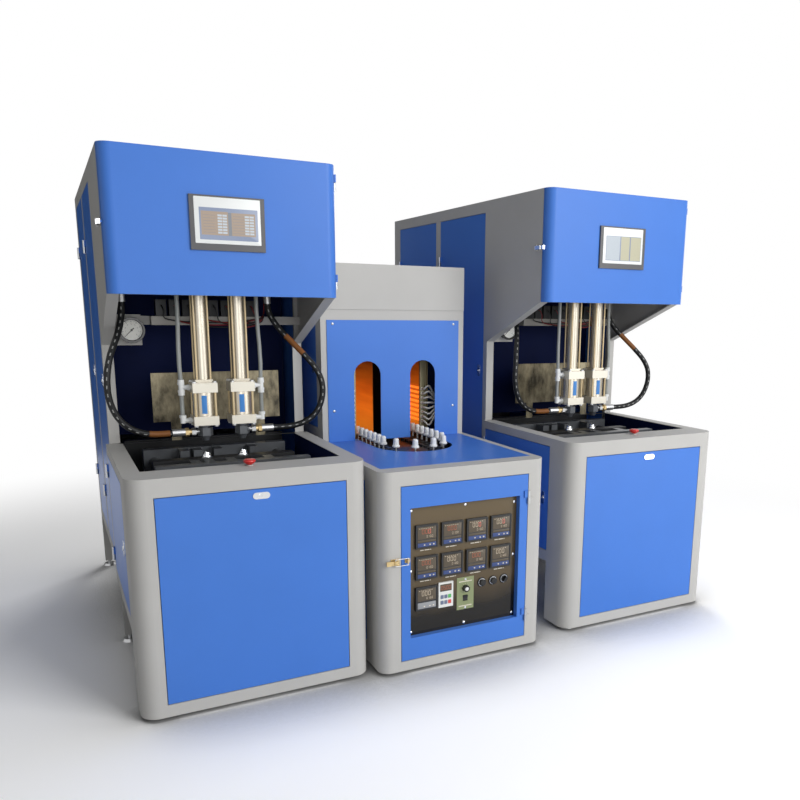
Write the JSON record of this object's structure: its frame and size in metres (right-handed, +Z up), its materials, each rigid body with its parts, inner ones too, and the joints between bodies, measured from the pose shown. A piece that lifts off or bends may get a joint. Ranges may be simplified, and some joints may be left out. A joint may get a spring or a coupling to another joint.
{
  "type": "pet bottle making machine",
  "caption": "Semi-automatic stretch-blow machine for bottles: an infrared preform heater with a chain conveyor between open-fronted blow cabinets with mould presses.",
  "frame": {"origin": "on the floor, under the middle of the set's bounding box", "axes": "+X along the row of cabinets to the operator's right, +Y from the operator to the backs, +Z up"},
  "size_m": [2.622, 2.0149, 1.95],
  "materials": {
    "grey_paint": "fine texture powder coat",
    "blue_paint": "fine texture powder coat",
    "black_steel": "satin",
    "mould_steel": "ground",
    "aluminium": "anodised",
    "chrome": "polished",
    "brass": "passivated",
    "reflector_steel": "bright",
    "hose_rubber": "matt",
    "black_plastic": "fine texture",
    "smoked_acrylic": "gloss",
    "white_plastic": "satin",
    "grey_plastic": "satin",
    "red_plastic": "gloss",
    "lamp_glass": "clear quartz, lit"
  },
  "bodies": {
    "frame": {"left_front_cabinet": "grey_paint", "left_rear_cabinet": "grey_paint", "right_front_cabinet": "grey_paint", "right_rear_cabinet": "grey_paint", "inner_panels": "blue_paint", "press_frames": "black_steel", "sealing_cylinders": "aluminium", "stretch_cylinders": "aluminium", "air_fittings": "white_plastic", "air_tubes": "grey_plastic", "air_supply": "black_steel", "levelling_feet": "mould_steel", "left_hose_outer": "hose_rubber", "left_hose_inner": "hose_rubber", "right_hose_outer": "hose_rubber", "right_hose_inner": "hose_rubber", "heater_cabinet": "grey_paint", "heater_panels": "blue_paint", "heater_side_panels": "blue_paint", "conveyor": "black_steel", "preform_holders": "white_plastic", "lamps": "lamp_glass", "reflectors": "reflector_steel"},
    "left_hood_door": {"left_hood_door": "blue_paint", "left_touch_screen": "black_plastic"},
    "left_hood_latch": {"left_hood_latch": "chrome"},
    "left_front_panel": {"left_front_panel": "blue_paint"},
    "left_side_door": {"left_side_door": "blue_paint"},
    "left_tall_door_front": {"left_tall_door_front": "blue_paint"},
    "left_tall_door_back": {"left_tall_door_back": "blue_paint"},
    "left_front_platen": {"left_front_platen": "mould_steel"},
    "left_rear_platen": {"left_rear_platen": "mould_steel"},
    "left_blow_nozzles": {"left_blow_nozzles": "mould_steel"},
    "left_stretch_rods": {"left_stretch_rods": "chrome"},
    "left_gauge_needle": {"left_gauge_needle": "black_plastic"},
    "left_stop_button": {"left_stop_button": "red_plastic"},
    "right_hood_door": {"right_hood_door": "blue_paint", "right_touch_screen": "black_plastic"},
    "right_hood_latch": {"right_hood_latch": "chrome"},
    "right_front_panel": {"right_front_panel": "blue_paint"},
    "right_side_door": {"right_side_door": "blue_paint"},
    "right_tall_door_front": {"right_tall_door_front": "blue_paint"},
    "right_tall_door_back": {"right_tall_door_back": "blue_paint"},
    "right_front_platen": {"right_front_platen": "mould_steel"},
    "right_rear_platen": {"right_rear_platen": "mould_steel"},
    "right_blow_nozzles": {"right_blow_nozzles": "mould_steel"},
    "right_stretch_rods": {"right_stretch_rods": "chrome"},
    "right_gauge_needle": {"right_gauge_needle": "black_plastic"},
    "right_stop_button": {"right_stop_button": "red_plastic"},
    "control_door": {"control_door": "blue_paint", "instrument_panel": "smoked_acrylic", "controllers": "black_plastic", "drive_controls": "white_plastic"},
    "door_latch": {"door_latch": "brass"},
    "door_latch_bail": {"door_latch_bail": "chrome"},
    "speed_knob": {"speed_knob": "black_plastic"},
    "speed_switch": {"speed_switch": "black_plastic"},
    "black_button_left": {"black_button_left": "black_plastic"},
    "black_button_right": {"black_button_right": "black_plastic"},
    "selector_switch": {"selector_switch": "black_plastic"}
  },
  "joints": [
    {"name": "left_hood_door", "type": "hinge", "parent": "frame", "child": "left_hood_door", "pos_m": [-0.467, -0.64925, 1.707], "axis": [0, 0, 1], "range_deg": [0, 100]},
    {"name": "left_hood_latch", "type": "hinge", "parent": "frame", "child": "left_hood_latch", "pos_m": [-1.294, -0.608, 1.7], "axis": [0, 0, -1], "range_deg": [0, 120]},
    {"name": "left_front_panel", "type": "hinge", "parent": "frame", "child": "left_front_panel", "pos_m": [-0.879, -0.9445, 0.0625], "axis": [1, 0, 0], "range_deg": [0, 20]},
    {"name": "left_side_door", "type": "hinge", "parent": "frame", "child": "left_side_door", "pos_m": [-1.305, -0.19975, 0.59], "axis": [0, 0, -1], "range_deg": [0, 90]},
    {"name": "left_tall_door_front", "type": "hinge", "parent": "frame", "child": "left_tall_door_front", "pos_m": [-1.291, 0.35825, 1.1], "axis": [0, 0, -1], "range_deg": [0, 90]},
    {"name": "left_tall_door_back", "type": "hinge", "parent": "frame", "child": "left_tall_door_back", "pos_m": [-1.291, 0.91025, 1.1], "axis": [0, 0, -1], "range_deg": [0, 90]},
    {"name": "left_rear_platen", "type": "slide", "parent": "frame", "child": "left_rear_platen", "axis": [0, -1, 0], "range_m": [0, 0.0698]},
    {"name": "left_front_platen", "type": "slide", "parent": "frame", "child": "left_front_platen", "axis": [0, 1, 0], "range_m": [0, 0.0698]},
    {"name": "left_blow_nozzles", "type": "slide", "parent": "frame", "child": "left_blow_nozzles", "axis": [0, 0, -1], "range_m": [0, 0.04], "deforming": ["left_hose_outer", "left_hose_inner"]},
    {"name": "left_stretch_rods", "type": "slide", "parent": "frame", "child": "left_stretch_rods", "axis": [0, 0, -1], "range_m": [0, 0.28]},
    {"name": "left_gauge_needle", "type": "hinge", "parent": "frame", "child": "left_gauge_needle", "pos_m": [-1.173, -0.2045, 1.329], "axis": [0, 1, 0], "range_deg": [0, 270]},
    {"name": "left_stop_button", "type": "slide", "parent": "frame", "child": "left_stop_button", "axis": [0, 0, -1], "range_m": [0, 0.0037], "stiffness_N_per_m": 1500},
    {"name": "right_hood_door", "type": "hinge", "parent": "frame", "child": "right_hood_door", "pos_m": [1.303, -0.64925, 1.707], "axis": [0, 0, 1], "range_deg": [0, 100]},
    {"name": "right_hood_latch", "type": "hinge", "parent": "frame", "child": "right_hood_latch", "pos_m": [0.476, -0.608, 1.7], "axis": [0, 0, -1], "range_deg": [0, 120]},
    {"name": "right_front_panel", "type": "hinge", "parent": "frame", "child": "right_front_panel", "pos_m": [0.891, -0.9445, 0.0625], "axis": [1, 0, 0], "range_deg": [0, 20]},
    {"name": "right_side_door", "type": "hinge", "parent": "frame", "child": "right_side_door", "pos_m": [0.465, -0.19975, 0.59], "axis": [0, 0, -1], "range_deg": [0, 12]},
    {"name": "right_tall_door_front", "type": "hinge", "parent": "frame", "child": "right_tall_door_front", "pos_m": [0.479, 0.35825, 1.1], "axis": [0, 0, -1], "range_deg": [0, 15]},
    {"name": "right_tall_door_back", "type": "hinge", "parent": "frame", "child": "right_tall_door_back", "pos_m": [0.479, 0.91025, 1.1], "axis": [0, 0, -1], "range_deg": [0, 15]},
    {"name": "right_rear_platen", "type": "slide", "parent": "frame", "child": "right_rear_platen", "axis": [0, -1, 0], "range_m": [0, 0.0698]},
    {"name": "right_front_platen", "type": "slide", "parent": "frame", "child": "right_front_platen", "axis": [0, 1, 0], "range_m": [0, 0.0698]},
    {"name": "right_blow_nozzles", "type": "slide", "parent": "frame", "child": "right_blow_nozzles", "axis": [0, 0, -1], "range_m": [0, 0.04], "deforming": ["right_hose_outer", "right_hose_inner"]},
    {"name": "right_stretch_rods", "type": "slide", "parent": "frame", "child": "right_stretch_rods", "axis": [0, 0, -1], "range_m": [0, 0.28]},
    {"name": "right_gauge_needle", "type": "hinge", "parent": "frame", "child": "right_gauge_needle", "pos_m": [0.597, -0.2045, 1.329], "axis": [0, 1, 0], "range_deg": [0, 270]},
    {"name": "right_stop_button", "type": "slide", "parent": "frame", "child": "right_stop_button", "axis": [0, 0, -1], "range_m": [0, 0.0037], "stiffness_N_per_m": 1500},
    {"name": "control_door", "type": "hinge", "parent": "frame", "child": "control_door", "pos_m": [0.22775, -0.9965, 0.412], "axis": [0, 0, 1], "range_deg": [0, 110]},
    {"name": "door_latch", "type": "hinge", "parent": "frame", "child": "door_latch", "pos_m": [-0.363, -0.9985, 0.474], "axis": [0, 0, 1], "range_deg": [0, 120]},
    {"name": "door_latch_bail", "type": "hinge", "parent": "door_latch", "child": "door_latch_bail", "pos_m": [-0.375, -1.0035, 0.474], "axis": [0, 0, 1], "range_deg": [-120, 0]},
    {"name": "speed_knob", "type": "hinge", "parent": "control_door", "child": "speed_knob", "pos_m": [-0.0495, -0.9805, 0.31], "axis": [0, 1, 0], "range_deg": [0, 270]},
    {"name": "speed_switch", "type": "hinge", "parent": "control_door", "child": "speed_switch", "pos_m": [-0.0495, -0.9625, 0.267], "axis": [-1, 0, 0], "range_deg": [0, 15]},
    {"name": "black_button_left", "type": "slide", "parent": "control_door", "child": "black_button_left", "axis": [0, 1, 0], "range_m": [0, 0.0037], "stiffness_N_per_m": 600},
    {"name": "black_button_right", "type": "slide", "parent": "control_door", "child": "black_button_right", "axis": [0, 1, 0], "range_m": [0, 0.0037], "stiffness_N_per_m": 600},
    {"name": "selector_switch", "type": "hinge", "parent": "control_door", "child": "selector_switch", "pos_m": [0.1335, -0.9805, 0.323], "axis": [0, -1, 0], "range_deg": [0, 70]}
  ],
  "couplings": [
    {"joint": "left_front_platen", "follows": "left_rear_platen", "ratio": 1},
    {"joint": "right_front_platen", "follows": "right_rear_platen", "ratio": 1},
    {"joint": "door_latch_bail", "follows": "door_latch", "ratio": -1}
  ]
}
